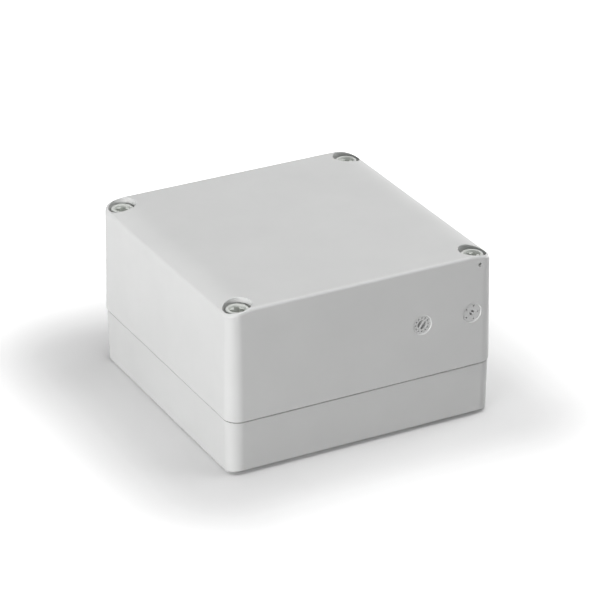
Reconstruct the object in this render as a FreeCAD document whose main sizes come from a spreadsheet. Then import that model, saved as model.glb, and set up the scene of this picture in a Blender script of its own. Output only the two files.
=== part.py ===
import FreeCAD, Part
import math
import os
import re
import Sketcher

# Square two-part plastic enclosure. A shallow base and a deep lid meet at a third of the
# height, with a seal between them. Four captive screws sit in round pockets in the lid's
# corners. The origin is under the middle of the base, +Z is up and -Y is the front.

# Driving sizes, in millimetres and degrees
SIZES = {
    "box_length": 125.0,
    "box_width": 125.0,
    "base_height": 25.0,
    "lid_height": 50.0,
    "corner_radius": 6.5,
    "lid_draft": 0.95,
    "base_draft": 0.6,
    "base_inset": 0.4,
    "shadow_gap": 0.7,
    "shadow_depth": 0.8,
    "top_edge_radius": 1.5,
    "bottom_chamfer": 1.0,
    "crown_run": 12.0,
    "crown_drop": 2.6,
    "side_wall": 3.2,
    "floor_wall": 3.0,
    "roof_wall": 3.0,
    "column_length": 17.0,
    "column_width": 28.0,
    "column_radius": 4.0,
    "chamber_outer_wall": 2.5,
    "chamber_inner_wall": 4.0,
    "tongue_wall": 1.6,
    "tongue_height": 3.0,
    "tongue_clearance": 0.1,
    "seal_thickness": 1.2,
    "seal_clearance": 0.3,
    "screw_inset": 7.75,
    "pocket_diameter": 12.0,
    "pocket_web": 2.8,
    "head_diameter": 9.6,
    "head_height": 4.0,
    "head_sink": 2.2,
    "cross_span": 6.2,
    "cross_width": 1.9,
    "cross_depth": 2.9,
    "shank_diameter": 5.6,
    "shank_clearance": 0.4,
    "thread_clearance": 0.3,
    "thread_reach": 14.0,
    "bore_spare": 2.0,
    "wire_hole_diameter": 1.8,
    "wire_hole_rise": 1.8,
    "fixing_inset": 19.5,
    "fixing_diameter": 4.6,
    "fixing_well_diameter": 9.5,
    "fixing_web": 4.0,
    "boss_spacing_x": 76.0,
    "boss_spacing_y": 100.0,
    "boss_diameter": 7.5,
    "boss_height": 5.0,
    "boss_bore": 3.2,
}

# Turn of each screw's cross recess as the screws were left when driven home, in degrees
SCREW_TURNS = {
    "front_left": 20.0,
    "front_right": 55.0,
    "back_left": 8.0,
    "back_right": 35.0,
}

CORNERS = {
    "front_left": (-1, -1),
    "front_right": (1, -1),
    "back_left": (-1, 1),
    "back_right": (1, 1),
}

# A face looks up or down, and an edge stands up, from this share of fully upright
UPRIGHT = 0.5
CUT_MARGIN = 2.0
TOLERANCE = 1e-4

# Where a sketch's points start, before its dimensions place them
ROUGH_REACH = 50.0
ROUGH_NEAR = 40.0
ROUGH_BEND = 1.0

# Levels and places that several pieces share
SCREW_X = "box_length / 2 - screw_inset"
SCREW_Y = "box_width / 2 - screw_inset"
FIXING_Y = "box_width / 2 - fixing_inset"
TOP = "base_height + lid_height"
HEAD_TOP = TOP + " - head_sink"
POCKET_FLOOR = HEAD_TOP + " - head_height"
CHAMBER_TOP = POCKET_FLOOR + " - pocket_web"
WIRE_HOLE = POCKET_FLOOR + " + wire_hole_rise"
SHOULDER = "base_height - shadow_gap"
TONGUE_TOP = "base_height + tongue_height"

doc = FreeCAD.newDocument("enclosure")


# The sheet of sizes
def make_sheet():
    sheet = doc.addObject("Spreadsheet::Sheet", "sizes")
    for row, (alias, value) in enumerate(SIZES.items(), start=1):
        sheet.set("A%d" % row, alias)
        sheet.set("B%d" % row, str(value))
        sheet.setAlias("B%d" % row, alias)
    doc.recompute()


def sheet_name(word):
    return "sizes." + word if word in SIZES else word


def size(text):
    """An expression with every size in it pointed at the sheet."""
    return re.sub(r"[a-z_]+", lambda word: sheet_name(word.group()), text)


# Bodies, sketches and the outlines drawn in them
def new_body(label):
    body = doc.addObject("PartDesign::Body", label)
    body.Label = label
    return body


def new_sketch(body, name, role, level="0"):
    """A sketch on one of the body's own origin planes, moved along its normal to a level."""
    sketch = body.newObject("Sketcher::SketchObject", name)
    plane = [item for item in body.Origin.OriginFeatures if item.Role == role][0]
    sketch.AttachmentSupport = [(plane, "")]
    sketch.MapMode = "FlatFace"
    sketch.setExpression("AttachmentOffset.Base.z", size(level))
    return sketch


def bind(sketch, constraint, expression):
    """Adds a dimension and ties it to the sheet."""
    index = sketch.addConstraint(constraint)
    sketch.setExpression("Constraints[%d]" % index, size(expression))


def place(sketch, item, point, x, y, guess):
    """Dimensions a point of some geometry from the sketch's origin."""
    if x == "0":
        sketch.addConstraint(Sketcher.Constraint("PointOnObject", item, point, -2))
    else:
        bind(sketch, Sketcher.Constraint("DistanceX", -1, 1, item, point, guess[0]), x)
    bind(sketch, Sketcher.Constraint("DistanceY", -1, 1, item, point, guess[1]), y)


def draw_circle(sketch, x, y, diameter, sign_x, sign_y):
    guess = FreeCAD.Vector(ROUGH_REACH * sign_x, ROUGH_REACH * sign_y, 0)
    circle = sketch.addGeometry(Part.Circle(guess, FreeCAD.Vector(0, 0, 1), ROUGH_BEND))
    place(sketch, circle, 3, x, y, guess)
    bind(sketch, Sketcher.Constraint("Diameter", circle, 2 * ROUGH_BEND), diameter)


def draw_outline(sketch, corners, guess):
    """A closed outline of straight lines, each corner dimensioned from the origin."""
    points = [FreeCAD.Vector(x, y, 0) for x, y in guess]
    lines = []
    for begin, finish in zip(points, points[1:] + points[:1]):
        lines.append(sketch.addGeometry(Part.LineSegment(begin, finish)))
    for line, following in zip(lines, lines[1:] + lines[:1]):
        sketch.addConstraint(Sketcher.Constraint("Coincident", line, 2, following, 1))
    for line, (x, y), rough in zip(lines, corners, guess):
        place(sketch, line, 1, x, y, rough)


def draw_rectangle(sketch, left, right, low, high, guess_x, guess_y):
    corners = [(left, low), (right, low), (right, high), (left, high)]
    rough_left, rough_right = guess_x
    rough_low, rough_high = guess_y
    guess = [
        (rough_left, rough_low),
        (rough_right, rough_low),
        (rough_right, rough_high),
        (rough_left, rough_high),
    ]
    draw_outline(sketch, corners, guess)


def draw_centred(sketch, length, width):
    """A rectangle about the origin, given as whole length and width."""
    rough = (-ROUGH_REACH, ROUGH_REACH)
    draw_rectangle(
        sketch,
        "-1 * ( %s ) / 2" % length,
        "( %s ) / 2" % length,
        "-1 * ( %s ) / 2" % width,
        "( %s ) / 2" % width,
        rough,
        rough,
    )


def draw_rounded(sketch, length, width, radius):
    """A rectangle about the origin with rounded corners: four lines and four arcs."""
    straight = ROUGH_REACH - ROUGH_BEND
    lines = []
    arcs = []
    for quarter in range(4):
        turn = FreeCAD.Rotation(FreeCAD.Vector(0, 0, 1), 90 * quarter)
        begin = turn.multVec(FreeCAD.Vector(-straight, -ROUGH_REACH, 0))
        finish = turn.multVec(FreeCAD.Vector(straight, -ROUGH_REACH, 0))
        centre = turn.multVec(FreeCAD.Vector(straight, -straight, 0))
        lines.append(sketch.addGeometry(Part.LineSegment(begin, finish)))
        circle = Part.Circle(centre, FreeCAD.Vector(0, 0, 1), ROUGH_BEND)
        first = math.radians(90 * quarter - 90)
        last = math.radians(90 * quarter)
        arcs.append(sketch.addGeometry(Part.ArcOfCircle(circle, first, last)))
    for number, line in enumerate(lines):
        following = lines[(number + 1) % len(lines)]
        sketch.addConstraint(Sketcher.Constraint("Tangent", line, 2, arcs[number], 1))
        sketch.addConstraint(Sketcher.Constraint("Tangent", arcs[number], 2, following, 1))
        kind = "Horizontal" if number % 2 == 0 else "Vertical"
        sketch.addConstraint(Sketcher.Constraint(kind, line))
    for arc in arcs[1:]:
        sketch.addConstraint(Sketcher.Constraint("Equal", arcs[0], arc))
    front, right, back, left = lines
    for line, sign in ((left, -1), (right, 1)):
        rough = Sketcher.Constraint("DistanceX", -1, 1, line, 1, sign * ROUGH_REACH)
        bind(sketch, rough, "%d * ( %s ) / 2" % (sign, length))
    for line, sign in ((front, -1), (back, 1)):
        rough = Sketcher.Constraint("DistanceY", -1, 1, line, 1, sign * ROUGH_REACH)
        bind(sketch, rough, "%d * ( %s ) / 2" % (sign, width))
    bind(sketch, Sketcher.Constraint("Radius", arcs[0], ROUGH_BEND), radius)


def corner_places(x, y):
    """The four mirrored places of one point, with their signs."""
    for sign_x, sign_y in CORNERS.values():
        yield "%d * ( %s )" % (sign_x, x), "%d * ( %s )" % (sign_y, y), sign_x, sign_y


# Pads, pockets and edges
def pad(body, name, sketch, length, taper=None, down=False):
    feature = body.newObject("PartDesign::Pad", name)
    feature.Profile = sketch
    feature.Reversed = down
    feature.setExpression("Length", size(length))
    if taper:
        feature.setExpression("TaperAngle", size(taper))
    doc.recompute()


def pocket(body, name, sketch, length=None, upward=False):
    """A pocket that cuts down from its sketch, or up from it, or both ways right through."""
    doc.recompute()
    before = body.Shape.Volume
    feature = body.newObject("PartDesign::Pocket", name)
    feature.Profile = sketch
    feature.Reversed = upward
    if length:
        feature.setExpression("Length", size(length))
    else:
        feature.Type = "ThroughAll"
        feature.Midplane = True
    doc.recompute()
    if body.Shape.Volume > before - TOLERANCE:
        raise RuntimeError(name + " cuts nothing")


def drill_corners(body, name, level, x, y, diameter, depth):
    """Four round holes down from a level, mirrored to the corners."""
    sketch = new_sketch(body, name, "XY_Plane", level)
    for corner_x, corner_y, sign_x, sign_y in corner_places(x, y):
        draw_circle(sketch, corner_x, corner_y, diameter, sign_x, sign_y)
    pocket(body, name + "_cut", sketch, depth)


def work_edges(body, kind, name, edges, amount, length):
    base = body.Tip
    feature = body.newObject(kind, name)
    feature.Base = (base, edges)
    feature.setExpression(amount, size(length))
    doc.recompute()


def fillet(body, name, edges, radius):
    work_edges(body, "PartDesign::Fillet", name, edges, "Radius", radius)


def chamfer(body, name, edges, length):
    work_edges(body, "PartDesign::Chamfer", name, edges, "Size", length)


def face_normal(face):
    u_low, u_high, v_low, v_high = face.ParameterRange
    return face.normalAt((u_low + u_high) / 2, (v_low + v_high) / 2)


def faces_up(face):
    return face_normal(face).z > UPRIGHT


def faces_down(face):
    return face_normal(face).z < -UPRIGHT


def faces_sideways(face):
    return abs(face_normal(face).z) <= UPRIGHT


def edges_between(shape, is_first, is_second):
    """Names of the edges that a face of the first kind shares with one of the second."""
    first = [edge for face in shape.Faces if is_first(face) for edge in face.Edges]
    second = [edge for face in shape.Faces if is_second(face) for edge in face.Edges]
    names = []
    for number, edge in enumerate(shape.Edges, start=1):
        on_first = any(edge.isSame(other) for other in first)
        on_second = any(edge.isSame(other) for other in second)
        if on_first and on_second:
            names.append("Edge%d" % number)
    return names


def round_upright_edges(body, name, radius, wanted):
    """Rounds the upright edges of a block whose middle passes the test."""
    names = []
    for number, edge in enumerate(body.Shape.Edges, start=1):
        begin = edge.Vertexes[0].Point
        finish = edge.Vertexes[-1].Point
        if abs(finish.z - begin.z) > UPRIGHT * edge.Length and wanted((begin + finish) / 2):
            names.append("Edge%d" % number)
    fillet(body, name, names, radius)


# The crown: both ends of the top curve down on an arc that leaves the flat top smoothly
def add_crown(body, name, depth):
    """Cuts a block's top down at both ends.

    depth sets the arc below the outer one and concentric with it, as for a roof's inside.
    """
    edge = "( box_length / 2 - lid_height * tan(lid_draft) )"
    start = edge + " - crown_run"
    level = TOP + " - %s" % depth
    arc_radius = "( crown_run * crown_run + crown_drop * crown_drop ) / ( 2 * crown_drop ) - %s" % depth
    run = SIZES["crown_run"]
    drop = SIZES["crown_drop"]
    rough_radius = (run * run + drop * drop) / (2 * drop)
    rough_top = SIZES["base_height"] + SIZES["lid_height"]
    rough_above = rough_top + CUT_MARGIN
    for side_name, side in (("right", 1), ("left", -1)):
        sketch = new_sketch(body, "%s_profile_%s" % (name, side_name), "XZ_Plane")
        rough_end = side * SIZES["box_length"] / 2
        rough_start = rough_end - side * run
        high_point = FreeCAD.Vector(rough_start, rough_top, 0)
        low_point = FreeCAD.Vector(rough_end, rough_top - drop, 0)
        centre = FreeCAD.Vector(rough_start, rough_top - rough_radius, 0)
        circle = Part.Circle(centre, FreeCAD.Vector(0, 0, 1), rough_radius)
        angles = sorted(circle.parameter(point) for point in (low_point, high_point))
        arc = sketch.addGeometry(Part.ArcOfCircle(circle, angles[0], angles[1]))
        arc_start, arc_end = (2, 1) if side > 0 else (1, 2)
        corners = [
            low_point,
            FreeCAD.Vector(rough_end, rough_above, 0),
            FreeCAD.Vector(rough_start, rough_above, 0),
            high_point,
        ]
        lines = []
        for begin, finish in zip(corners, corners[1:]):
            lines.append(sketch.addGeometry(Part.LineSegment(begin, finish)))
        outer, upper, inner = lines
        sketch.addConstraint(Sketcher.Constraint("Coincident", arc, arc_end, outer, 1))
        sketch.addConstraint(Sketcher.Constraint("Coincident", outer, 2, upper, 1))
        sketch.addConstraint(Sketcher.Constraint("Coincident", upper, 2, inner, 1))
        sketch.addConstraint(Sketcher.Constraint("Coincident", inner, 2, arc, arc_start))
        sketch.addConstraint(Sketcher.Constraint("Vertical", outer))
        sketch.addConstraint(Sketcher.Constraint("Horizontal", upper))
        sketch.addConstraint(Sketcher.Constraint("Vertical", inner))
        start_x = "%d * ( %s )" % (side, start)
        end_x = "%d * ( %s + %s )" % (side, edge, CUT_MARGIN)
        above = level + " + %s" % CUT_MARGIN
        bind(sketch, Sketcher.Constraint("Radius", arc, rough_radius), arc_radius)
        bind(sketch, Sketcher.Constraint("DistanceX", -1, 1, arc, 3, rough_start), start_x)
        bind(sketch, Sketcher.Constraint("DistanceX", -1, 1, arc, arc_start, rough_start), start_x)
        bind(sketch, Sketcher.Constraint("DistanceX", -1, 1, outer, 1, rough_end), end_x)
        bind(sketch, Sketcher.Constraint("DistanceY", -1, 1, arc, arc_start, rough_top), level)
        bind(sketch, Sketcher.Constraint("DistanceY", -1, 1, upper, 1, rough_above), above)
        pocket(body, "%s_cut_%s" % (name, side_name), sketch)


# Cross-shaped blocks: the space between the four corner columns
def cross_body(label, grow, low, height, taper=None, down=False):
    """A cross-shaped block, grown all round, with the columns' roundings in its notches.

    The roundings stay concentric, so that two such blocks leave an even ring between them.
    """
    body = new_body(label)
    arm_x = "box_length - 2 * side_wall + 2 * ( %s )" % grow
    arm_y = "box_width - 2 * side_wall + 2 * ( %s )" % grow
    waist_x = "box_length - 2 * column_length + 2 * ( %s )" % grow
    waist_y = "box_width - 2 * column_width + 2 * ( %s )" % grow
    for name, length, width in (("along_x", arm_x, waist_y), ("along_y", waist_x, arm_y)):
        sketch = new_sketch(body, label + "_arm_" + name, "XY_Plane", low)
        draw_centred(sketch, length, width)
        pad(body, label + "_pad_" + name, sketch, height, taper, down)
    reach_x = SIZES["box_length"] / 2 - SIZES["column_length"] + SIZES["side_wall"]
    reach_y = SIZES["box_width"] / 2 - SIZES["column_width"] + SIZES["side_wall"]
    round_upright_edges(
        body,
        label + "_notch_rounding",
        "column_radius - %s" % grow,
        lambda middle: abs(middle.x) < reach_x and abs(middle.y) < reach_y,
    )
    return body


def join(kind, label, first, second):
    """One solid cut from another, or two solids made one."""
    result = doc.addObject(kind, label)
    result.Base = first
    result.Tool = second
    result.Label = label
    return result


# Base: drafted tray, corner columns with screw bores and fixing wells, tongue and bosses
def make_base():
    body = new_body("base_block")
    length = "box_length - 2 * base_inset"
    width = "box_width - 2 * base_inset"
    radius = "corner_radius - base_inset"
    outline = new_sketch(body, "base_outline", "XY_Plane", SHOULDER)
    draw_centred(outline, length, width)
    pad(body, "base_walls", outline, SHOULDER, "-1 * base_draft", down=True)
    seat = new_sketch(body, "base_seat", "XY_Plane", SHOULDER)
    draw_centred(seat, length + " - 2 * shadow_depth", width + " - 2 * shadow_depth")
    pad(body, "base_seat_pad", seat, "shadow_gap")
    shoulder = SIZES["base_height"] - SIZES["shadow_gap"]
    seat_radius = radius + " - shadow_depth"
    round_upright_edges(body, "seat_corners", seat_radius, lambda middle: middle.z > shoulder)
    round_upright_edges(body, "base_corners", radius, lambda middle: middle.z < shoulder)
    bottom = edges_between(body.Shape, faces_down, faces_sideways)
    chamfer(body, "base_bottom_edge", bottom, "bottom_chamfer")

    bore = "shank_diameter + 2 * thread_clearance"
    bore_depth = "thread_reach + bore_spare"
    well = "fixing_well_diameter"
    well_depth = "base_height - fixing_web"
    hole = "fixing_diameter"
    drill_corners(body, "screw_bores", "base_height", SCREW_X, SCREW_Y, bore, bore_depth)
    drill_corners(body, "fixing_wells", "base_height", SCREW_X, FIXING_Y, well, well_depth)
    drill_corners(body, "fixing_holes", "base_height", SCREW_X, FIXING_Y, hole, "base_height")

    tongue = cross_body("base_tongue", "tongue_wall", SHOULDER, "tongue_height + shadow_gap")
    walls = join("Part::Fuse", "base_with_tongue", body, tongue)
    depth = TONGUE_TOP + " - floor_wall"
    cavity = cross_body("base_cavity", "0", TONGUE_TOP, depth, "-1 * base_draft", down=True)
    tray = join("Part::Cut", "base_tray", walls, cavity)

    bosses = new_body("base_bosses")
    feet = new_sketch(bosses, "boss_outlines", "XY_Plane", "floor_wall / 2")
    for x, y, sign_x, sign_y in corner_places("boss_spacing_x / 2", "boss_spacing_y / 2"):
        draw_circle(feet, x, y, "boss_diameter", sign_x, sign_y)
        draw_circle(feet, x, y, "boss_bore", sign_x, sign_y)
    pad(bosses, "boss_pad", feet, "floor_wall / 2 + boss_height")
    return join("Part::Fuse", "base", tray, bosses)


# Lid: drafted and crowned cover with corner chambers, sunk pockets and a rim rebate
def make_lid():
    body = new_body("lid_block")
    outline = new_sketch(body, "lid_outline", "XY_Plane", "base_height")
    draw_rounded(outline, "box_length", "box_width", "corner_radius")
    pad(body, "lid_walls", outline, "lid_height", "-1 * lid_draft")
    add_crown(body, "crown", "0")
    rim = edges_between(body.Shape, faces_up, faces_sideways)
    fillet(body, "lid_top_edge", rim, "top_edge_radius")

    head_depth = "head_sink + head_height"
    neck = "shank_diameter + 2 * shank_clearance"
    drill_corners(body, "head_pockets", TOP, SCREW_X, SCREW_Y, "pocket_diameter", head_depth)
    drill_corners(body, "screw_necks", TOP, SCREW_X, SCREW_Y, neck, "lid_height")

    for name, (sign_x, sign_y) in CORNERS.items():
        chamber = new_sketch(body, "chamber_" + name, "XY_Plane", "base_height")
        near_x = "%d * ( box_length / 2 - chamber_outer_wall )" % sign_x
        far_x = "%d * ( box_length / 2 - column_length + chamber_inner_wall )" % sign_x
        near_y = "%d * ( box_width / 2 - chamber_outer_wall )" % sign_y
        far_y = "%d * ( box_width / 2 - column_width + chamber_inner_wall )" % sign_y
        guess_x = (sign_x * ROUGH_NEAR, sign_x * ROUGH_REACH)
        guess_y = (sign_y * ROUGH_NEAR, sign_y * ROUGH_REACH)
        draw_rectangle(chamber, far_x, near_x, far_y, near_y, guess_x, guess_y)
        pocket(body, "chamber_cut_" + name, chamber, CHAMBER_TOP + " - base_height", upward=True)

    wire_holes = (("front_right", "box_width / 2", False), ("back_left", "-1 * box_width / 2", True))
    for name, level, upward in wire_holes:
        sign_x = CORNERS[name][0]
        hole_x = "%d * ( %s )" % (sign_x, SCREW_X)
        hole = new_sketch(body, "wire_hole_" + name, "XZ_Plane", level)
        draw_circle(hole, hole_x, WIRE_HOLE, "wire_hole_diameter", sign_x, 1)
        pocket(body, "wire_hole_cut_" + name, hole, "screw_inset", upward)

    cavity = cross_body("lid_cavity", "0", "base_height", "lid_height - roof_wall", "-1 * lid_draft")
    add_crown(cavity, "cavity_crown", "roof_wall")
    grow = "tongue_wall + tongue_clearance"
    rebate = cross_body("lid_rebate", grow, "base_height", "tongue_height + seal_thickness")
    hollow = join("Part::Fuse", "lid_hollow", cavity, rebate)
    return join("Part::Cut", "lid", body, hollow)


# Gasket: a flat ring on top of the base's tongue, under the roof of the lid's rebate
def make_gasket():
    grow = "tongue_wall + tongue_clearance - seal_clearance"
    outer = cross_body("gasket_outline", grow, TONGUE_TOP, "seal_thickness")
    inner = cross_body("gasket_opening", "0", TONGUE_TOP, "seal_thickness")
    return join("Part::Cut", "gasket", outer, inner)


# Screw: plain round head with a cross recess, on a long shank
def make_screw(name, sign_x, sign_y, turn):
    body = new_body("screw_" + name)
    profile = new_sketch(body, name + "_profile", "XZ_Plane")
    tip = "base_height - thread_reach"
    outline = [
        ("0", HEAD_TOP),
        ("head_diameter / 2", HEAD_TOP),
        ("head_diameter / 2", POCKET_FLOOR),
        ("shank_diameter / 2", POCKET_FLOOR),
        ("shank_diameter / 2", tip),
        ("0", tip),
    ]
    head = SIZES["head_diameter"] / 2
    shank = SIZES["shank_diameter"] / 2
    rough_top = SIZES["base_height"] + SIZES["lid_height"]
    rough_seat = rough_top - SIZES["head_height"]
    rough_tip = SIZES["base_height"] - SIZES["thread_reach"]
    guess = [
        (0, rough_top),
        (head, rough_top),
        (head, rough_seat),
        (shank, rough_seat),
        (shank, rough_tip),
        (0, rough_tip),
    ]
    draw_outline(profile, outline, guess)
    turned = body.newObject("PartDesign::Revolution", name + "_turned")
    turned.Profile = profile
    turned.ReferenceAxis = (profile, ["V_Axis"])
    turned.Angle = 360
    doc.recompute()

    wings = (("wing", "cross_span", "cross_width"), ("cross_wing", "cross_width", "cross_span"))
    for wing, length, width in wings:
        recess = new_sketch(body, "%s_%s" % (name, wing), "XY_Plane", HEAD_TOP)
        draw_centred(recess, length, width)
        pocket(body, "%s_%s_cut" % (name, wing), recess, "cross_depth")

    upright = FreeCAD.Vector(0, 0, 1)
    body.Placement = FreeCAD.Placement(FreeCAD.Vector(0, 0, 0), FreeCAD.Rotation(upright, turn))
    body.setExpression("Placement.Base.x", size("%d * ( %s )" % (sign_x, SCREW_X)))
    body.setExpression("Placement.Base.y", size("%d * ( %s )" % (sign_y, SCREW_Y)))
    return body


# Checks and export
def check_document():
    """Stops if any object of the document failed to build."""
    for item in doc.Objects:
        if "Invalid" in item.State or "Error" in item.State:
            raise RuntimeError("%s failed: %s" % (item.Name, item.State))


def check_piece(piece):
    """Stops unless the piece is one sound solid."""
    shape = piece.Shape
    if shape.isNull() or not shape.isValid() or len(shape.Solids) != 1:
        raise RuntimeError(piece.Label + " is not one valid solid")


def main():
    make_sheet()
    pieces = [make_base(), make_lid(), make_gasket()]
    for name, (sign_x, sign_y) in CORNERS.items():
        pieces.append(make_screw(name, sign_x, sign_y, SCREW_TURNS[name]))
    doc.recompute()
    check_document()
    for piece in pieces:
        check_piece(piece)
    os.makedirs("parts", exist_ok=True)
    for piece in pieces:
        piece.Shape.exportStep("parts/%s.step" % piece.Label)
        print("%-20s %9.0f mm3" % (piece.Label, piece.Shape.Volume))


main()
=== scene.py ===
import math

import bmesh
import bpy
from mathutils import Matrix, Vector


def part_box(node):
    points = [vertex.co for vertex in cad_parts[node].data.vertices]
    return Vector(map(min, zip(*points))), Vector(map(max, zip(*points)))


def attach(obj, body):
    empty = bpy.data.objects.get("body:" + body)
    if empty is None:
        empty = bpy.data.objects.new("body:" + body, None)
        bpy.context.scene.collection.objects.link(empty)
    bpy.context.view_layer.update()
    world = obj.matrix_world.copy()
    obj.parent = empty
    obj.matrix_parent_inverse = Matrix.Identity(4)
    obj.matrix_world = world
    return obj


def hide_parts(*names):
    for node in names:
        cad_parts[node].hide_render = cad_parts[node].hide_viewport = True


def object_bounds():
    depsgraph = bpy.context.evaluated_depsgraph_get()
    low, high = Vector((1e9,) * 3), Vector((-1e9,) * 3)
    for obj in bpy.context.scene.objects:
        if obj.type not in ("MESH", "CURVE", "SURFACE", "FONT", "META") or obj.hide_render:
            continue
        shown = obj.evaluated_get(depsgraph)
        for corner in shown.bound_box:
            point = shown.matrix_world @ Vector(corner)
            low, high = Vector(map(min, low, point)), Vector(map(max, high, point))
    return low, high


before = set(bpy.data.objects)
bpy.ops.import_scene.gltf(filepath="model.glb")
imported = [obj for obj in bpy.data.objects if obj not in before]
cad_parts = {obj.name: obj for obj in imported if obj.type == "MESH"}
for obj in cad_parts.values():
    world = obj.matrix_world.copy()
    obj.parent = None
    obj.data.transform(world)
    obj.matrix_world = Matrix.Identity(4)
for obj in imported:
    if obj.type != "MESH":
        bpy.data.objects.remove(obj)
cad_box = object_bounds()

MM = 0.001
WHITE = (1.0, 1.0, 1.0, 1.0)


def add_to_scene(name, data):
    """Links a new object that holds the data."""
    item = bpy.data.objects.new(name, data)
    bpy.context.scene.collection.objects.link(item)
    return item


def direction(azimuth, elevation):
    """Unit vector from the object towards a place at that bearing and height in degrees."""
    bearing = math.radians(azimuth)
    height = math.radians(elevation)
    flat = math.cos(height)
    return Vector((math.sin(bearing) * flat, -math.cos(bearing) * flat, math.sin(height)))


def stand_off(item, target, towards, distance):
    """Puts a camera or a lamp at a distance from its target, and turns it to face the target."""
    item.location = target + towards * distance
    item.rotation_euler = (-towards).to_track_quat("-Z", "Y").to_euler()


# Camera: bearing and height in degrees, distance and aim in metres, lens and sensor in millimetres
CAMERA_AZIMUTH = -27.9
CAMERA_ELEVATION = 26.36
CAMERA_DISTANCE = 1.309
CAMERA_LENS = 183.29
CAMERA_SENSOR = 36.0
AIM_HEIGHT = 37.5 * MM
AIM_RIGHT = 2.41 * MM
AIM_UP = 2.15 * MM


def make_camera():
    """The camera at the photograph's viewing angle."""
    back = direction(CAMERA_AZIMUTH, CAMERA_ELEVATION)
    right = Vector((0, 0, 1)).cross(back).normalized()
    up = back.cross(right)
    aim = Vector((0, 0, AIM_HEIGHT)) + right * AIM_RIGHT + up * AIM_UP
    data = bpy.data.cameras.new("camera")
    data.lens = CAMERA_LENS
    data.sensor_width = CAMERA_SENSOR
    camera = add_to_scene("camera", data)
    stand_off(camera, aim, back, CAMERA_DISTANCE)
    bpy.context.scene.camera = camera


# Mesh helpers: tolerances in metres, angles between faces in radians
MERGE = 0.002 * MM
NEAR = 0.03 * MM
FLAT_TURN = math.radians(0.3)
SMOOTH_TURN = math.radians(28)
SHARP_TURN = math.radians(46)
ROUND_STEPS = 72
ROUND_SEGMENTS = 3
FINE_SEGMENTS = 2
# The share of its normal along an axis above which a face looks that way
FACING = 0.99


def merged_copy(node):
    """A CAD node's mesh with its loose triangles joined, and its flat faces made whole."""
    mesh = bmesh.new()
    mesh.from_mesh(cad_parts[node].data)
    bmesh.ops.remove_doubles(mesh, verts=mesh.verts[:], dist=MERGE)
    bmesh.ops.dissolve_limit(
        mesh, angle_limit=FLAT_TURN, verts=mesh.verts[:], edges=mesh.edges[:],
        use_dissolve_boundaries=False,
    )
    return mesh


def turned(outline):
    """A solid of revolution about Z from an outline of (radius, height) points in millimetres."""
    mesh = bmesh.new()
    points = [mesh.verts.new((radius * MM, 0.0, height * MM)) for radius, height in outline]
    for first, second in zip(points, points[1:]):
        mesh.edges.new((first, second))
    bmesh.ops.spin(
        mesh, geom=mesh.verts[:] + mesh.edges[:], cent=(0, 0, 0), axis=(0, 0, 1),
        angle=math.tau, steps=ROUND_STEPS, use_merge=True,
    )
    bmesh.ops.remove_doubles(mesh, verts=mesh.verts[:], dist=MERGE)
    return mesh


def ring_edges(mesh, radius, height):
    """The edges of one level ring about Z, its sizes in millimetres."""
    found = []
    for edge in mesh.edges:
        misses = [
            abs(math.hypot(v.co.x, v.co.y) - radius * MM) + abs(v.co.z - height * MM)
            for v in edge.verts
        ]
        if max(misses) < NEAR:
            found.append(edge)
    return found


def round_edges(mesh, edges, radius, segments=ROUND_SEGMENTS):
    """Rounds edges to a radius in millimetres."""
    bmesh.ops.bevel(
        mesh, geom=edges, offset=radius * MM, offset_type="OFFSET", affect="EDGES",
        segments=segments, profile=0.5, material=-1, clamp_overlap=False,
    )


def close_holes(mesh):
    """Fills what a cut or a sweep left open."""
    bmesh.ops.holes_fill(mesh, edges=[edge for edge in mesh.edges if edge.is_boundary])


def new_object(mesh, name):
    """Turns a bmesh into an object at the origin."""
    data = bpy.data.meshes.new(name)
    mesh.to_mesh(data)
    mesh.free()
    return add_to_scene(name, data)


def use_material(piece, material):
    piece.data.materials.clear()
    piece.data.materials.append(material)


def make_piece(mesh, name, material):
    """Turns a bmesh into a smooth-shaded piece at the origin."""
    piece = new_object(mesh, name)
    smooth(piece)
    use_material(piece, material)
    return piece


def smooth(piece):
    """Smooth shading up to sharp edges, with flat faces kept flat beside their roundings."""
    mesh = bmesh.new()
    mesh.from_mesh(piece.data)
    for face in mesh.faces:
        face.smooth = True
    for edge in mesh.edges:
        edge.smooth = edge.calc_face_angle(math.pi) < SMOOTH_TURN
    mesh.to_mesh(piece.data)
    mesh.free()
    weighted = piece.modifiers.new("flat_faces", "WEIGHTED_NORMAL")
    weighted.keep_sharp = True


def cut_out(piece, cutter_mesh):
    """Takes the cutter's shape out of a piece."""
    cutter = new_object(cutter_mesh, "cutter")
    piece.modifiers.clear()
    cut = piece.modifiers.new("cut", "BOOLEAN")
    cut.operation = "DIFFERENCE"
    cut.solver = "EXACT"
    cut.object = cutter
    bpy.context.view_layer.update()
    graph = bpy.context.evaluated_depsgraph_get()
    finished = bpy.data.meshes.new_from_object(piece.evaluated_get(graph))
    piece.modifiers.clear()
    piece.data = finished
    bpy.data.objects.remove(cutter)
    smooth(piece)


# Node helpers: the values between which a noise is spread, and its usual detail
NOISE_LOW = 0.3
NOISE_HIGH = 0.7
NOISE_DETAIL = 4.0
NOISE_ROUGHNESS = 0.55


def new_material(name):
    """A material with its nodes, links and shader."""
    material = bpy.data.materials.new(name)
    material.use_nodes = True
    nodes = material.node_tree.nodes
    return material, nodes, material.node_tree.links, nodes["Principled BSDF"]


def noise(nodes, links, coordinates, scale, detail=NOISE_DETAIL, roughness=NOISE_ROUGHNESS):
    """A noise with about that many clouds to a metre."""
    texture = nodes.new("ShaderNodeTexNoise")
    texture.inputs["Scale"].default_value = scale
    texture.inputs["Detail"].default_value = detail
    texture.inputs["Roughness"].default_value = roughness
    links.new(coordinates, texture.inputs["Vector"])
    return texture.outputs["Fac"]


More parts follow.
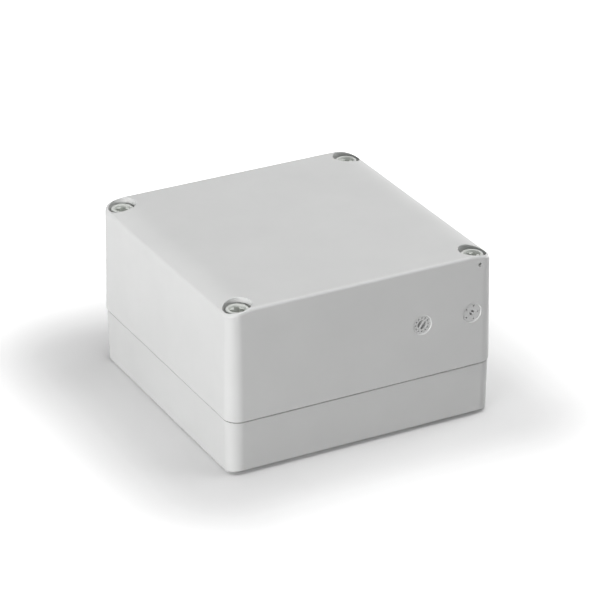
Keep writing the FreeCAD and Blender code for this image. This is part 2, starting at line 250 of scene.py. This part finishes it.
def map_range(nodes, links, value, limits, results, kind="LINEAR"):
    """Maps a value between two limits to one between two results."""
    node = nodes.new("ShaderNodeMapRange")
    node.interpolation_type = kind
    node.inputs["From Min"].default_value = limits[0]
    node.inputs["From Max"].default_value = limits[1]
    node.inputs["To Min"].default_value = results[0]
    node.inputs["To Max"].default_value = results[1]
    links.new(value, node.inputs["Value"])
    return node.outputs["Result"]


def maths(nodes, links, operation, *values):
    """One step of arithmetic on plain numbers and other nodes' results."""
    node = nodes.new("ShaderNodeMath")
    node.operation = operation
    for socket, value in zip(node.inputs, values):
        if isinstance(value, float):
            socket.default_value = value
        else:
            links.new(value, socket)
    return node.outputs["Value"]


def blend_colours(nodes, links, value, colours):
    """Spreads a noise between a dark and a light colour."""
    ramp = nodes.new("ShaderNodeValToRGB")
    for stop, place, colour in zip(ramp.color_ramp.elements, (NOISE_LOW, NOISE_HIGH), colours):
        stop.position = place
        stop.color = (*colour, 1.0)
    links.new(value, ramp.inputs["Fac"])
    return ramp.outputs["Color"]


def bump(nodes, links, height, depth, below=None):
    """Relief of that depth in metres, over another relief where one is given."""
    node = nodes.new("ShaderNodeBump")
    node.inputs["Distance"].default_value = depth
    links.new(height, node.inputs["Height"])
    if below is not None:
        links.new(below, node.inputs["Normal"])
    return node.outputs["Normal"]


# Finishes: noise scales to the metre, dark and light colours, smooth and rough sheen, depths in metres
CLOUD_SCALE = 38.0
CLOUD_DETAIL = 3.0
SHEEN_SCALE = 160.0
SHEEN_DETAIL = 5.0
RIPPLE_SCALE = 55.0
RIPPLE_DETAIL = 2.0
RIPPLE_DEPTH = 0.05 * MM
GRAIN_SCALE = 2600.0
GRAIN_DETAIL = 3.0
GRAIN_ROUGHNESS = 0.6
PLASTIC_IOR = 1.5
BOX_COLOURS = ((0.66, 0.664, 0.66), (0.685, 0.689, 0.684))
BOX_SHEEN = (0.36, 0.46)
BOX_GRAIN_DEPTH = 0.012 * MM
SCREW_COLOURS = ((0.64, 0.66, 0.63), (0.67, 0.69, 0.66))
SCREW_SHEEN = (0.32, 0.42)
SCREW_GRAIN_DEPTH = 0.004 * MM
CELL_SCALE = 900.0
CELL_DEPTH = 0.2 * MM
SEAL_COLOURS = ((0.035, 0.035, 0.037), (0.07, 0.07, 0.072))
SEAL_SHEEN = (0.8, 0.95)


def moulded_plastic(name, colours, sheen, grain_depth):
    """Moulded plastic: faint flow clouds, a fine spark-eroded grain and an uneven sheen."""
    material, nodes, links, shader = new_material(name)
    place = nodes.new("ShaderNodeTexCoord").outputs["Object"]
    clouds = noise(nodes, links, place, CLOUD_SCALE, CLOUD_DETAIL)
    links.new(blend_colours(nodes, links, clouds, colours), shader.inputs["Base Color"])
    patches = noise(nodes, links, place, SHEEN_SCALE, SHEEN_DETAIL)
    roughness = map_range(nodes, links, patches, (NOISE_LOW, NOISE_HIGH), sheen)
    links.new(roughness, shader.inputs["Roughness"])
    grain = noise(nodes, links, place, GRAIN_SCALE, GRAIN_DETAIL, GRAIN_ROUGHNESS)
    ripple = noise(nodes, links, place, RIPPLE_SCALE, RIPPLE_DETAIL)
    surface = bump(nodes, links, ripple, RIPPLE_DEPTH)
    surface = bump(nodes, links, grain, grain_depth, below=surface)
    links.new(surface, shader.inputs["Normal"])
    shader.inputs["IOR"].default_value = PLASTIC_IOR
    return material


def foamed_rubber():
    """The seal's matt black foam with its small cells."""
    material, nodes, links, shader = new_material("foamed_seal")
    place = nodes.new("ShaderNodeTexCoord").outputs["Object"]
    cells = noise(nodes, links, place, CELL_SCALE)
    links.new(blend_colours(nodes, links, cells, SEAL_COLOURS), shader.inputs["Base Color"])
    roughness = map_range(nodes, links, cells, (NOISE_LOW, NOISE_HIGH), SEAL_SHEEN)
    links.new(roughness, shader.inputs["Roughness"])
    links.new(bump(nodes, links, cells, CELL_DEPTH), shader.inputs["Normal"])
    return material


# Lid screws, in millimetres, each with the turn in degrees at which its cross stands
SCREW_TURNS = {"front_left": -20, "front_right": 28, "back_left": -35, "back_right": 48}
HEAD_HEIGHT = 4.0
HEAD_ROUND = 0.4
HEAD_UNDER_ROUND = 0.2
DISH_RADIUS = 3.6
DISH_FLOOR_RADIUS = 3.2
DISH_DEPTH = 1.0
DISH_ROUND = 0.15
CROSS_SPAN = 6.2
CROSS_WIDTH = 2.3
CROSS_DEPTH = 4.2
CROSS_NARROWING = 0.7
SHANK_RADIUS = 2.8
TIP_CHAMFER = 0.8
THREAD_START = 0.9
THREAD_LENGTH = 12.4
THREAD_PITCH = 1.75
THREAD_CREST = 3.0
THREAD_ROOT = 2.6
THREAD_STEPS = 36
# How far the ridge's root and its crest reach up and down, as shares of the pitch
THREAD_ROOT_SHARE = 0.36
THREAD_CREST_SHARE = 0.1


def level_floor(mesh, height):
    """The level faces that look up at that height in metres."""
    return [
        face for face in mesh.faces
        if abs(face.calc_center_median().z - height) < NEAR and face.normal.z > FACING
    ]


def sink_cross(mesh, height):
    """Sinks the cross recess into the dish's flat floor at that height in metres."""
    half_width = CROSS_WIDTH / 2 * MM
    half_span = CROSS_SPAN / 2 * MM
    for axis in (Vector((1, 0, 0)), Vector((0, 1, 0))):
        for reach in (-half_span, -half_width, half_width, half_span):
            floor = level_floor(mesh, height)
            corners = {vertex for face in floor for vertex in face.verts}
            edges = {edge for face in floor for edge in face.edges}
            bmesh.ops.bisect_plane(
                mesh, geom=floor + list(corners) + list(edges), dist=MERGE,
                plane_co=axis * reach, plane_no=axis,
            )
    cross = []
    for face in level_floor(mesh, height):
        middle = face.calc_center_median()
        across, along = sorted((abs(middle.x), abs(middle.y)))
        if across < half_width and along < half_span:
            cross.append(face)
    edges = list({edge for face in cross for edge in face.edges})
    sunk = bmesh.ops.extrude_face_region(mesh, geom=cross + edges)
    corners = [item for item in sunk["geom"] if isinstance(item, bmesh.types.BMVert)]
    bmesh.ops.translate(mesh, verts=corners, vec=(0, 0, -CROSS_DEPTH * MM))
    bmesh.ops.scale(mesh, verts=corners, vec=(CROSS_NARROWING, CROSS_NARROWING, 1))


def add_thread(mesh, start):
    """Adds the thread's ridge, swept along its helix, that fades into the shank at both ends."""
    outline = (
        (THREAD_ROOT, -THREAD_ROOT_SHARE), (THREAD_CREST, -THREAD_CREST_SHARE),
        (THREAD_CREST, THREAD_CREST_SHARE), (THREAD_ROOT, THREAD_ROOT_SHARE),
    )
    shank = set(mesh.verts)
    points = [
        mesh.verts.new((radius * MM, 0.0, (start + share * THREAD_PITCH) * MM))
        for radius, share in outline
    ]
    edges = [mesh.edges.new(pair) for pair in zip(points, points[1:] + points[:1])]
    turns = THREAD_LENGTH / THREAD_PITCH
    steps = round(turns * THREAD_STEPS)
    bmesh.ops.spin(
        mesh, geom=points + edges, cent=(0, 0, 0), axis=(0, 0, 1), angle=math.tau * turns,
        dvec=(0, 0, THREAD_LENGTH * MM / steps), steps=steps, use_merge=False,
    )
    close_holes(mesh)
    low = (start - THREAD_ROOT_SHARE * THREAD_PITCH) * MM
    high = (start + THREAD_LENGTH + THREAD_ROOT_SHARE * THREAD_PITCH) * MM
    ridge = [vertex for vertex in mesh.verts if vertex not in shank]
    for vertex in ridge:
        inside = min(vertex.co.z - low, high - vertex.co.z) / (THREAD_PITCH * MM)
        radius = math.hypot(vertex.co.x, vertex.co.y)
        wanted = THREAD_ROOT * MM + (radius - THREAD_ROOT * MM) * min(1.0, inside)
        vertex.co.x *= wanted / radius
        vertex.co.y *= wanted / radius


def make_screw(corner, material):
    """A lid screw: dished head with a cross recess, plain shank and a threaded end."""
    node = "screw_" + corner
    low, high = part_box(node)
    axis = (low + high) / 2
    head_radius = (high.x - low.x) / 2 / MM
    tip = low.z / MM
    top = high.z / MM
    seat = top - HEAD_HEIGHT
    dish = top - DISH_DEPTH
    mesh = turned([
        (0.0, tip), (SHANK_RADIUS - TIP_CHAMFER, tip), (SHANK_RADIUS, tip + TIP_CHAMFER),
        (SHANK_RADIUS, seat), (head_radius, seat), (head_radius, top),
        (DISH_RADIUS, top), (DISH_FLOOR_RADIUS, dish),
    ])
    bmesh.ops.holes_fill(mesh, edges=ring_edges(mesh, DISH_FLOOR_RADIUS, dish))
    bmesh.ops.recalc_face_normals(mesh, faces=mesh.faces[:])
    sink_cross(mesh, dish * MM)
    round_edges(mesh, ring_edges(mesh, head_radius, top), HEAD_ROUND)
    round_edges(mesh, ring_edges(mesh, head_radius, seat), HEAD_UNDER_ROUND, FINE_SEGMENTS)
    round_edges(mesh, ring_edges(mesh, DISH_RADIUS, top), DISH_ROUND, FINE_SEGMENTS)
    add_thread(mesh, tip + THREAD_START)
    bmesh.ops.recalc_face_normals(mesh, faces=mesh.faces[:])
    turn = Matrix.Rotation(math.radians(SCREW_TURNS[corner]), 4, "Z")
    mesh.transform(Matrix.Translation((axis.x, axis.y, 0)) @ turn)
    screw = make_piece(mesh, "lid_screw_" + corner, material)
    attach(screw, node)
    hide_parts(node)


# Lid: pocket rims, and the two round moulding marks on its front, in millimetres
POCKET_RADIUS = 6.0
RIM_ROUND = 0.3
RIM_DEPTH = 5.0
MARK_RADIUS = 4.5
MARK_FLOOR_RADIUS = 4.2
MARK_DEPTH = 0.35
MARK_STEPS = 60
WELL_DEPTH = 2.0
BAR_HALF_WIDTH = 0.36
DOT_RADIUS = 0.4
DOT_RING = 3.05
DOT_DEPTH = 0.95
DOT_STEPS = 12
CUT_MARGIN = 1.0
# Each mark: place along X, height, turn of its bar in degrees, radius of its well and number of dots
MARKS = ((27.3, 49.2, 52, 2.1, 12), (51.2, 49.25, 140, 1.1, 5))


def rim_edges(mesh):
    """The sharp edges where the screw pockets open through the lid's top."""
    found = []
    for corner in SCREW_TURNS:
        low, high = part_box("screw_" + corner)
        axis = (low + high) / 2
        for edge in mesh.edges:
            misses = [
                abs(math.hypot(v.co.x - axis.x, v.co.y - axis.y) - POCKET_RADIUS * MM)
                for v in edge.verts
            ]
            lowest = min(vertex.co.z for vertex in edge.verts)
            on_rim = max(misses) < NEAR and lowest > cad_box[1].z - RIM_DEPTH * MM
            if on_rim and edge.calc_face_angle(0) > SHARP_TURN:
                found.append(edge)
    return found


def front_face(mesh):
    """The lid's widest flat face that looks towards -Y."""
    return max((f for f in mesh.faces if f.normal.y < -FACING), key=lambda face: face.calc_area())


def mark_frame(face_point, face_normal, along, height):
    """Places a mark on the slanted front: its Z points out of the face, its X along the lid."""
    side = Vector((1, 0, 0))
    rise = face_normal.cross(side)
    gap = (Vector((along, 0, height)) * MM - face_point).dot(face_normal) / face_normal.y
    place = Vector((along * MM, -gap, height * MM))
    turn = Matrix((side, rise, face_normal)).transposed().to_4x4()
    return Matrix.Translation(place) @ turn


def add_disc(mesh, place, radius, floor_radius, depth, steps):
    """Adds a round cutter, from a floor below the face to a margin above it."""
    slope = (radius - floor_radius) / depth
    bmesh.ops.create_cone(
        mesh, cap_ends=True, segments=steps, radius1=floor_radius * MM,
        radius2=(radius + slope * CUT_MARGIN) * MM, depth=(depth + CUT_MARGIN) * MM,
        matrix=place @ Matrix.Translation((0, 0, (CUT_MARGIN - depth) / 2 * MM)),
    )


def join(mesh, part):
    """Adds one bmesh to another."""
    data = bpy.data.meshes.new("part")
    part.to_mesh(data)
    part.free()
    mesh.from_mesh(data)
    bpy.data.meshes.remove(data)


def add_half_moons(mesh, place, bar_turn, radius):
    """Adds the two cutters that sink the mark's middle on both sides of its bar."""
    for side in (1, -1):
        half = bmesh.new()
        add_disc(half, Matrix(), radius, radius, WELL_DEPTH, MARK_STEPS)
        bmesh.ops.bisect_plane(
            half, geom=half.verts[:] + half.edges[:] + half.faces[:], dist=MERGE,
            plane_co=(0, side * BAR_HALF_WIDTH * MM, 0), plane_no=(0, -side, 0), clear_outer=True,
        )
        close_holes(half)
        bmesh.ops.recalc_face_normals(half, faces=half.faces[:])
        half.transform(place @ Matrix.Rotation(math.radians(bar_turn), 4, "Z"))
        join(mesh, half)


def make_lid(material):
    """The lid with softened pocket rims and its two moulding marks."""
    mesh = merged_copy("lid")
    round_edges(mesh, rim_edges(mesh), RIM_ROUND)
    for vertex in mesh.verts:
        vertex.co.z = min(vertex.co.z, cad_box[1].z)
    mesh.normal_update()
    front = front_face(mesh)
    point = front.calc_center_median()
    normal = front.normal.copy()
    lid = make_piece(mesh, "moulded_lid", material)
    dishes = bmesh.new()
    sunk = bmesh.new()
    for along, height, bar_turn, well_radius, dots in MARKS:
        place = mark_frame(point, normal, along, height)
        add_disc(dishes, place, MARK_RADIUS, MARK_FLOOR_RADIUS, MARK_DEPTH, MARK_STEPS)
        add_half_moons(sunk, place, bar_turn, well_radius)
        for index in range(dots):
            turn = Matrix.Rotation(math.tau * index / dots, 4, "Z")
            spot = turn @ Matrix.Translation((DOT_RING * MM, 0, 0))
            add_disc(sunk, place @ spot, DOT_RADIUS, DOT_RADIUS, DOT_DEPTH, DOT_STEPS)
    cut_out(lid, dishes)
    cut_out(lid, sunk)
    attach(lid, "lid")
    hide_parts("lid")


# Base: the foot of its flat front and back is set back under a raised edge, in millimetres
OUTLINE_RADIUS = 6.5
FOOT_CHAMFER = 1.0
RAISED_EDGE = 2.1
FOOT_SET_BACK = 2.4
# Only what lies in this band inside the outline is moved
OUTER_BAND = 2.0


def make_base(material):
    """The base with the shadow gap that its flat front and back leave above the floor."""
    mesh = merged_copy("base")
    low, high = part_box("base")
    arc_x = high.x - OUTLINE_RADIUS * MM
    arc_y = high.y - OUTLINE_RADIUS * MM
    for vertex in mesh.verts:
        out = Vector((max(abs(vertex.co.x) - arc_x, 0), max(abs(vertex.co.y) - arc_y, 0)))
        below = vertex.co.z < low.z + (FOOT_CHAMFER * MM + NEAR)
        if not below or out.length < (OUTLINE_RADIUS - OUTER_BAND) * MM:
            continue
        # Nothing at the sides, all of it at the front and back, and a share round each corner
        share = (out.y / out.length) ** 2
        if vertex.co.z < low.z + NEAR:
            vertex.co.y -= math.copysign(FOOT_SET_BACK * MM * share, vertex.co.y)
        else:
            vertex.co.z += (RAISED_EDGE - FOOT_CHAMFER) * MM * share
    base = make_piece(mesh, "moulded_base", material)
    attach(base, "base")
    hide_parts("base")


# Seal, in millimetres: a foamed bead whose lower edges are rounded
SEAL_ROUND = 0.35


def make_seal(material):
    """The seal that sits in the groove of the lid's rim."""
    mesh = merged_copy("gasket")
    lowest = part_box("gasket")[0].z
    lower = [
        edge for edge in mesh.edges
        if max(v.co.z for v in edge.verts) < lowest + NEAR and edge.calc_face_angle(0) > SHARP_TURN
    ]
    round_edges(mesh, lower, SEAL_ROUND)
    seal = make_piece(mesh, "foamed_gasket", material)
    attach(seal, "lid")
    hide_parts("gasket")


# Floor, in metres: it keeps the box's shadow, and a painted light that grows with distance from the
# box makes it white far off and leaves a painted shade near the box
FLOOR_SIZE = 12.0
FLOOR_GREY = 0.91
FLOOR_BOUNCE = 0.5
FLOOR_ROUGHNESS = 0.9
# Painted light: the floor's glow starts this far from the box and reaches these strengths at these
# distances, which leaves a painted shade nearer the box
PAINTED_LIGHT_START = 15 * MM
PAINTED_LIGHT_END = 80 * MM
PAINTED_LIGHT_NEAR = 0.54
PAINTED_LIGHT_WIDE_END = 500 * MM
PAINTED_LIGHT_WIDE = 0.9


def distance_from_box(nodes, links):
    """How far a point of the floor lies from the box's square outline."""
    place = nodes.new("ShaderNodeTexCoord").outputs["Object"]
    split = nodes.new("ShaderNodeSeparateXYZ")
    links.new(place, split.inputs["Vector"])
    squares = []
    for axis, reach in (("X", cad_box[1].x), ("Y", cad_box[1].y)):
        size = maths(nodes, links, "ABSOLUTE", split.outputs[axis])
        gap = maths(nodes, links, "SUBTRACT", size, float(reach))
        gap = maths(nodes, links, "MAXIMUM", gap, 0.0)
        squares.append(maths(nodes, links, "MULTIPLY", gap, gap))
    return maths(nodes, links, "SQRT", maths(nodes, links, "ADD", *squares))


def seen_directly(nodes, links):
    """1 for what the camera sees straight, in a reflection or through something, else 0."""
    ray = nodes.new("ShaderNodeLightPath").outputs
    either = maths(nodes, links, "MAXIMUM", ray["Is Camera Ray"], ray["Is Glossy Ray"])
    return maths(nodes, links, "MAXIMUM", either, ray["Is Transmission Ray"])


def make_floor():
    """A pale floor that throws back less light than it shows, with a painted light that grows away
    from the box and so paints shade round the box on top of its real shadow.
    """
    mesh = bmesh.new()
    bmesh.ops.create_grid(mesh, x_segments=1, y_segments=1, size=FLOOR_SIZE / 2)
    floor = new_object(mesh, "floor")
    material, nodes, links, shader = new_material("pale_floor_with_painted_shade")
    seen = seen_directly(nodes, links)
    tone = map_range(nodes, links, seen, (0.0, 1.0), (FLOOR_BOUNCE, FLOOR_GREY))
    links.new(tone, shader.inputs["Base Color"])
    shader.inputs["Roughness"].default_value = FLOOR_ROUGHNESS
    shader.inputs["Specular IOR Level"].default_value = 0.0
    shader.inputs["Emission Color"].default_value = WHITE
    # Painted light: the camera sees the floor glow more the farther it lies from the box, so the floor
    # beside the box shows a painted shade
    away = distance_from_box(nodes, links)
    painted_near = map_range(nodes, links, away, (PAINTED_LIGHT_START, PAINTED_LIGHT_END), (0.0, PAINTED_LIGHT_NEAR), "SMOOTHSTEP")
    painted_wide = map_range(nodes, links, away, (PAINTED_LIGHT_END, PAINTED_LIGHT_WIDE_END), (0.0, PAINTED_LIGHT_WIDE))
    painted_light = maths(nodes, links, "ADD", painted_near, painted_wide)
    shown = maths(nodes, links, "MULTIPLY", painted_light, seen)
    links.new(shown, shader.inputs["Emission Strength"])
    use_material(floor, material)


# Lamps: bearing and height in degrees, distance, width and height in metres, power in watts
LAMPS = {
    "overhead_lamp": (0, 90, 1.4, 1.0, 1.0, 10.3),
    "right_lamp": (76, 50, 1.4, 1.2, 1.0, 7.4),
    "low_right_lamp": (98, 1, 1.4, 1.0, 0.25, 10.0),
    "low_left_lamp": (-66.5, 2, 1.4, 1.05, 0.7, 29.6),
}


def make_lamp(name, azimuth, elevation, distance, width, height, watts):
    """A soft lamp that faces the point under the middle of the box."""
    data = bpy.data.lights.new(name, "AREA")
    data.shape = "RECTANGLE"
    data.size = width
    data.size_y = height
    data.energy = watts
    lamp = add_to_scene(name, data)
    stand_off(lamp, Vector(), direction(azimuth, elevation), distance)


# Room: how strongly it lights the box, where 1 is the strength at which it is seen
ROOM_LIGHT = 0.0


def make_room(strength):
    """A room that is seen white and lights the box by that strength."""
    world = bpy.data.worlds.new("studio_room")
    bpy.context.scene.world = world
    world.use_nodes = True
    nodes = world.node_tree.nodes
    links = world.node_tree.links
    background = nodes["Background"]
    background.inputs["Color"].default_value = WHITE
    level = map_range(nodes, links, seen_directly(nodes, links), (0.0, 1.0), (strength, 1.0))
    links.new(level, background.inputs["Strength"])


def main():
    """Builds the studio round the box, then its pieces."""
    make_camera()
    make_floor()
    make_room(ROOM_LIGHT)
    for name, setting in LAMPS.items():
        make_lamp(name, *setting)
    box_plastic = moulded_plastic("box_plastic", BOX_COLOURS, BOX_SHEEN, BOX_GRAIN_DEPTH)
    screw_plastic = moulded_plastic("screw_plastic", SCREW_COLOURS, SCREW_SHEEN, SCREW_GRAIN_DEPTH)
    seal = foamed_rubber()
    make_base(box_plastic)
    make_lid(box_plastic)
    for corner in SCREW_TURNS:
        make_screw(corner, screw_plastic)
    make_seal(seal)
    bpy.context.scene.view_settings.view_transform = "Standard"


main()
